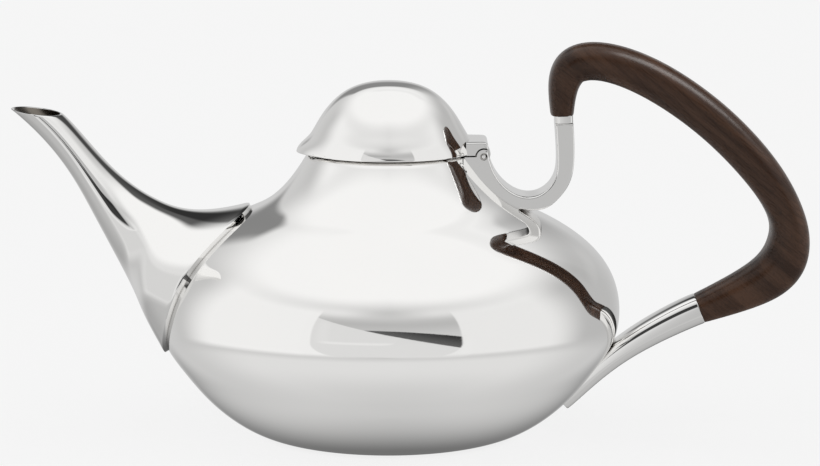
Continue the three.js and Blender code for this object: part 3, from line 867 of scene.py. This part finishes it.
def plain_steel():
    made, g = new_material("steel rod")
    place = g.place()
    marks = g.noise(place, 900.0, 4.0)
    colour = g.colours(marks, (0.5, 0.5, 0.5, 1), (0.62, 0.62, 0.61, 1))
    rough = g.step(marks, 0.3, 0.7, 0.25, 0.42)
    finish_surface(g, {"Base Color": colour, "Metallic": 1.0, "Roughness": rough,
                       "Normal": g.bump(marks, 0.3, 0.00005)})
    return made


GRAIN_TILT = math.radians(-40)  # the board's grain runs down the grip's long limb
FLECK_TILT = math.radians(-62)


def dark_wood():
    """Oiled dark wood cut from one board: broad warm figure, fine fibres, short dark pores."""
    made, g = new_material("dark wood")
    along = g.stretched(g.place(), (1.0, 1.0, 1.0), (0.0, GRAIN_TILT, 0.0))
    wander = g.noise(g.stretched(along, (16.0, 30.0, 48.0)), 1.0, 3.0)
    bands = g.noise(g.stretched(along, (9.0, 90.0, 210.0)), 1.0, 5.0, 0.6)
    fibres = g.noise(g.stretched(along, (150.0, 900.0, 1700.0)), 1.0, 5.0, 0.65)
    flecks = g.stretched(g.place(), (1.0, 1.0, 1.0), (0.0, FLECK_TILT, 0.0))
    pores = g.step(g.noise(g.stretched(flecks, (420.0, 1500.0, 2600.0)), 1.0, 2.0), 0.58, 0.7)
    tone = g.math("ADD", g.math("MULTIPLY", bands, 0.7), g.math("MULTIPLY", fibres, 0.3))
    dark = (0.024, 0.0105, 0.0055, 1)
    light = (0.062, 0.031, 0.018, 1)
    colour = g.colours(g.step(tone, 0.36, 0.64), dark, light)
    colour = g.colours(g.step(wander, 0.42, 0.72, 0.0, 0.2), colour, (0.105, 0.046, 0.022, 1))
    colour = g.colours(g.math("MULTIPLY", pores, 0.45), colour, (0.011, 0.006, 0.004, 1))
    edges = g.step(g.node("ShaderNodeNewGeometry").outputs["Pointiness"], 0.52, 0.6)
    colour = g.colours(g.math("MULTIPLY", edges, 0.25), colour, (0.13, 0.07, 0.043, 1))
    rough = g.math("ADD", g.step(fibres, 0.3, 0.7, 0.24, 0.34), g.math("MULTIPLY", pores, 0.2))
    height = g.math("SUBTRACT", fibres, pores)
    finish_surface(g, {
        "Base Color": colour, "Roughness": rough, "Specular IOR Level": 0.24,
        "Coat Weight": 0.06, "Coat Roughness": 0.2, "Normal": g.bump(height, 0.25, 0.00008),
    })
    return made


# -------------------------------------------------------------------------- studio, camera

FLOOR_HALF = 30.0  # metres
FLOOR_DROP = 0.00005  # metres below the pot's base, so that the two faces don't coincide


def make_floor():
    """A pale table that shows soft shadows but isn't seen in the silver."""
    half = FLOOR_HALF
    corners = [(-half, -half), (half, -half), (half, half), (-half, half)]
    mesh = bpy.data.meshes.new("studio_floor")
    mesh.from_pydata([(x, y, -FLOOR_DROP) for x, y in corners], [], [(0, 1, 2, 3)])
    floor = placed("studio_floor", mesh)
    made, g = new_material("pale floor")
    diffuse = g.node("ShaderNodeBsdfDiffuse", {"Color": (0.12, 0.12, 0.12, 1)})
    glow = g.node("ShaderNodeEmission", {"Color": (1, 1, 1, 1), "Strength": 0.83})
    both = g.node("ShaderNodeAddShader", {0: diffuse.outputs[0], 1: glow.outputs[0]})
    g.node("ShaderNodeOutputMaterial", {"Surface": both.outputs[0]})
    mesh.materials.append(made)
    floor.visible_glossy = False


SHADOW_RISE = math.radians(-38)  # the pot's own dark patch on the table lies low behind it
SHADOW_NARROWING = 85.0


class Sky:
    """A direction as turn (0 towards -Y, + towards +X) and rise, in degrees."""

    def __init__(self, g, direction):
        x, y, z = g.node("ShaderNodeSeparateXYZ", {0: direction}).outputs
        in_degrees = 180 / math.pi
        turn = g.math("ARCTAN2", x, g.math("MULTIPLY", y, -1.0))
        self.turn = g.math("MULTIPLY", turn, in_degrees)
        self.rise = g.math("MULTIPLY", g.math("ARCSINE", z), in_degrees)
        self.away = g.math("ABSOLUTE", self.turn)
        cosine = g.math("ADD", g.math("MULTIPLY", y, math.cos(SHADOW_RISE)),
                        g.math("MULTIPLY", z, math.sin(SHADOW_RISE)))
        off = g.math("MULTIPLY", g.math("ARCCOSINE", g.math("MINIMUM", cosine, 1.0)), in_degrees)
        self.from_shadow = length_of(g, off, g.math("MULTIPLY", x, SHADOW_NARROWING))


def length_of(g, a, b):
    return g.math("SQRT", g.math("ADD", g.math("MULTIPLY", a, a), g.math("MULTIPLY", b, b)))


def room_light(g, sky):
    """The table, grey walls, bright ceiling, two soft panels in front, a dark strip behind."""
    turn, rise, away = sky.turn, sky.rise, sky.away
    table = g.step(rise, -88.0, -30.0, 0.62, 0.76)
    table = g.blend(g.step(away, 70.0, 135.0), table, 0.6)
    table = g.blend(g.fade(sky.from_shadow, 8.0, 62.0), table, 0.17)
    walls = g.blend(g.step(away, 115.0, 150.0), 0.55, 0.62)
    walls = g.blend(g.band(turn, 80.0, 125.0, 140.0, 180.0), walls, 0.5)
    light = g.blend(g.step(rise, -24.0, -12.0), table, walls)
    left = g.band(turn, -128.0, -96.0, -30.0, 0.0)
    right = g.band(turn, 0.0, 30.0, 84.0, 116.0)
    panel_rise = g.band(rise, -19.0, -13.0, 36.0, 52.0)
    light = g.blend(g.math("MULTIPLY", left, panel_rise), light, 0.9)
    light = g.blend(g.math("MULTIPLY", right, panel_rise), light, 0.84)
    ceiling = g.step(g.math("ADD", rise, g.math("MULTIPLY", away, 0.1)), 38.0, 66.0)
    light = g.blend(ceiling, light, 0.95)
    behind = g.math("ADD", g.fade(turn, -158.0, -150.0), g.step(turn, 150.0, 176.0))
    dark_strip = g.math("MULTIPLY", g.band(rise, 6.0, 18.0, 33.0, 38.0), behind)
    return g.blend(dark_strip, light, 0.25)


def window_light(g, sky):
    """The dim studio seen between the panels, with the slanting edge of a dark screen in it."""
    rise = sky.rise
    along = g.math("ADD", sky.turn, 12.0)
    over_slant = g.math("SUBTRACT", rise, g.math("SUBTRACT", 18.0, g.math("MULTIPLY", along, 0.51)))
    arch = g.math("MULTIPLY", g.math("MULTIPLY", along, along), 0.0048)
    under_top = g.math("SUBTRACT", g.math("SUBTRACT", 18.0, arch), rise)
    light = g.blend(g.step(rise, 8.0, 26.0), 0.62, 0.5)
    light = g.blend(g.step(rise, 24.0, 46.0), light, 0.72)
    light = g.blend(g.fade(over_slant, -0.4, 0.4), light, 0.74)
    inside = g.math("MULTIPLY", g.step(over_slant, -0.4, 0.4), g.step(under_top, -0.4, 0.4))
    inside = g.math("MULTIPLY", inside, g.step(along, -1.0, 1.0))
    return g.blend(inside, light, g.step(over_slant, 0.0, 15.0, 0.11, 0.03))


def window_mask(g, sky):
    """A tall opening with rounded lower corners that fades out upwards."""
    half_width = 22.0
    radius = 15.0
    softness = 0.6
    centred = g.math("ABSOLUTE", g.math("ADD", sky.turn, 1.0))
    across = g.math("MAXIMUM", g.math("SUBTRACT", centred, half_width), 0.0)
    below = g.math("MAXIMUM", g.math("SUBTRACT", -1.0, sky.rise), 0.0)
    mask = g.fade(length_of(g, across, below), radius - softness, radius + softness)
    return g.math("MULTIPLY", mask, g.fade(sky.rise, 30.0, 46.0))


def studio_light(g, sky):
    return g.blend(window_mask(g, sky), room_light(g, sky), window_light(g, sky))


def fill_share(g, sky):
    """How much of the studio light is fill that only the large round pieces pick up."""
    turn, rise = sky.turn, sky.rise
    dark = g.math("MULTIPLY", g.band(turn, -36.0, -28.0, -2.0, 6.0),
                  g.band(rise, -1.0, 3.0, 24.0, 30.0))
    window = g.math("MULTIPLY", g.band(turn, -4.0, 6.0, 34.0, 42.0),
                    g.band(rise, -20.0, -14.0, 0.0, 10.0))
    left = g.math("MULTIPLY", g.band(turn, -130.0, -90.0, -44.0, -36.0),
                  g.band(rise, -22.0, -10.0, 30.0, 50.0))
    sides = g.math("ADD", g.step(turn, 130.0, 142.0), g.fade(turn, -172.0, -158.0))
    behind = g.math("MULTIPLY", sides, g.band(rise, 10.0, 20.0, 44.0, 54.0))
    table = g.fade(rise, -24.0, -14.0)
    share = g.math("MULTIPLY", dark, 0.94)
    for place, amount in ((window, 0.3), (behind, 0.88), (table, 0.33), (left, 0.24)):
        share = g.math("MAXIMUM", share, g.math("MULTIPLY", place, amount))
    return share


def make_studio_light():
    """A white studio as polished silver shows it, all from soft shapes in the sky around."""
    world = bpy.data.worlds.new("studio")
    world.use_nodes = True
    bpy.context.scene.world = world
    g = Graph(world.node_tree)
    sky = Sky(g, g.node("ShaderNodeTexCoord").outputs["Generated"])
    kept = g.math("SUBTRACT", 1.0, fill_share(g, sky))
    light = g.math("MULTIPLY", studio_light(g, sky), kept)
    background = g.node("ShaderNodeBackground", {"Color": (1, 1, 1, 1), "Strength": light})
    g.node("ShaderNodeOutputWorld", {"Surface": background.outputs[0]})


def towards(turn, rise, distance):
    """The point this far from the origin in a direction of the sky, given in radians."""
    level = distance * math.cos(rise)
    return level * math.sin(turn), -level * math.cos(turn), distance * math.sin(rise)


def light_only(source, pieces, name):
    """Lets the light of one source reach these pieces alone."""
    linked = bpy.data.collections.new(name)
    for piece in pieces:
        linked.objects.link(piece)
    source.light_linking.receiver_collection = linked


WOOD_LAMP_TURN = math.radians(80)
WOOD_LAMP_RISE = math.radians(55)
WOOD_LAMP_DISTANCE = 1.6  # metres


def make_wood_light(receiver):
    """A soft lamp high on the right that brings out the sheen along the handle's upper edge."""
    data = bpy.data.lights.new("wood_lamp", "AREA")
    data.shape = "DISK"
    data.size = 1.0
    data.energy = 17.0
    lamp = placed("wood_lamp", data)
    lamp.location = towards(WOOD_LAMP_TURN, WOOD_LAMP_RISE, WOOD_LAMP_DISTANCE)
    lamp.rotation_euler = (math.pi / 2 - WOOD_LAMP_RISE, 0, WOOD_LAMP_TURN)
    light_only(lamp, [receiver], "lit_by_wood_lamp")


FILL_DISTANCE = 8.0  # metres, so far off that the fill looks the same from all of the pot


def make_fill_light(receivers):
    """A distant clear screen all round whose glow reaches the large round pieces alone."""
    turns = np.radians(np.linspace(-180, 180, 73))
    rises = np.radians(np.linspace(-90, 60, 31))
    points = [towards(turn, rise, FILL_DISTANCE) for rise in rises for turn in turns]
    faces = grid_faces(len(rises), len(turns), close_columns=False)
    mesh = bpy.data.meshes.new("fill_screen")
    mesh.from_pydata(points, [], faces)
    weld(mesh)
    screen = placed("fill_screen", mesh)
    made, g = new_material("fill glow")
    made.cycles.emission_sampling = "NONE"
    place = g.place()
    direction = g.node("ShaderNodeVectorMath", {0: place}, operation="NORMALIZE").outputs[0]
    sky = Sky(g, direction)
    light = g.math("MULTIPLY", studio_light(g, sky), fill_share(g, sky))
    glow = g.node("ShaderNodeEmission", {"Color": (1, 1, 1, 1), "Strength": light})
    clear = g.node("ShaderNodeBsdfTransparent")
    both = g.node("ShaderNodeAddShader", {0: glow.outputs[0], 1: clear.outputs[0]})
    g.node("ShaderNodeOutputMaterial", {"Surface": both.outputs[0]})
    mesh.materials.append(made)
    screen.visible_camera = False
    screen.visible_diffuse = False
    screen.visible_shadow = False
    light_only(screen, receivers, "lit_by_fill")


CAMERA_TARGET = (7.6, 0.0, 72.0)
CAMERA_DISTANCE = 1100.0
CAMERA_ELEVATION = math.radians(9.3)
CAMERA_LENS = 134.1


def make_camera():
    data = bpy.data.cameras.new("camera")
    data.sensor_width = 36
    data.lens = CAMERA_LENS
    data.clip_start = 0.01
    data.clip_end = 100
    camera = placed("camera", data)
    x, y, z = CAMERA_TARGET
    camera.location = (
        x * MM,
        (y - CAMERA_DISTANCE * math.cos(CAMERA_ELEVATION)) * MM,
        (z + CAMERA_DISTANCE * math.sin(CAMERA_ELEVATION)) * MM,
    )
    camera.rotation_euler = (math.pi / 2 - CAMERA_ELEVATION, 0, 0)
    bpy.context.scene.camera = camera


# --------------------------------------------------------------------------------- assembly

silver = polished_silver("polished silver", (50.0, 50.0, 2600.0))
plate_silver = polished_silver("polished silver plate", (900.0, 40.0, 900.0))
inner = satin_silver("satin silver", (0.86, 0.845, 0.81, 1), (0.78, 0.765, 0.73, 1))
# Painted shade: a darker copy of the satin silver for the inside of the spout.
shade_painted_lining = satin_silver("lining with painted shade", (0.3, 0.275, 0.24, 1), (0.17, 0.15, 0.13, 1))
steel = plain_steel()
wood = dark_wood()

round_pieces = [make_body(silver), make_lid_dome(silver)]
make_base_plate(silver)
make_mouth_collar(inner)
make_spout(silver, shade_painted_lining)
make_lid_flange(inner)
make_lid_block(plate_silver)
make_bracket(plate_silver)
make_ferrule(plate_silver)
make_pin(plate_silver)
grip = make_grip(wood)
make_strut(plate_silver)

for node, look in (("strainer_plate", inner), ("upper_tang", steel), ("lower_tang", steel)):
    for material_slot in frame["nodes"][node].material_slots:
        material_slot.material = look

make_floor()
make_studio_light()
make_fill_light(round_pieces)
make_wood_light(grip)
make_camera()
bpy.context.scene.view_settings.view_transform = "Standard"
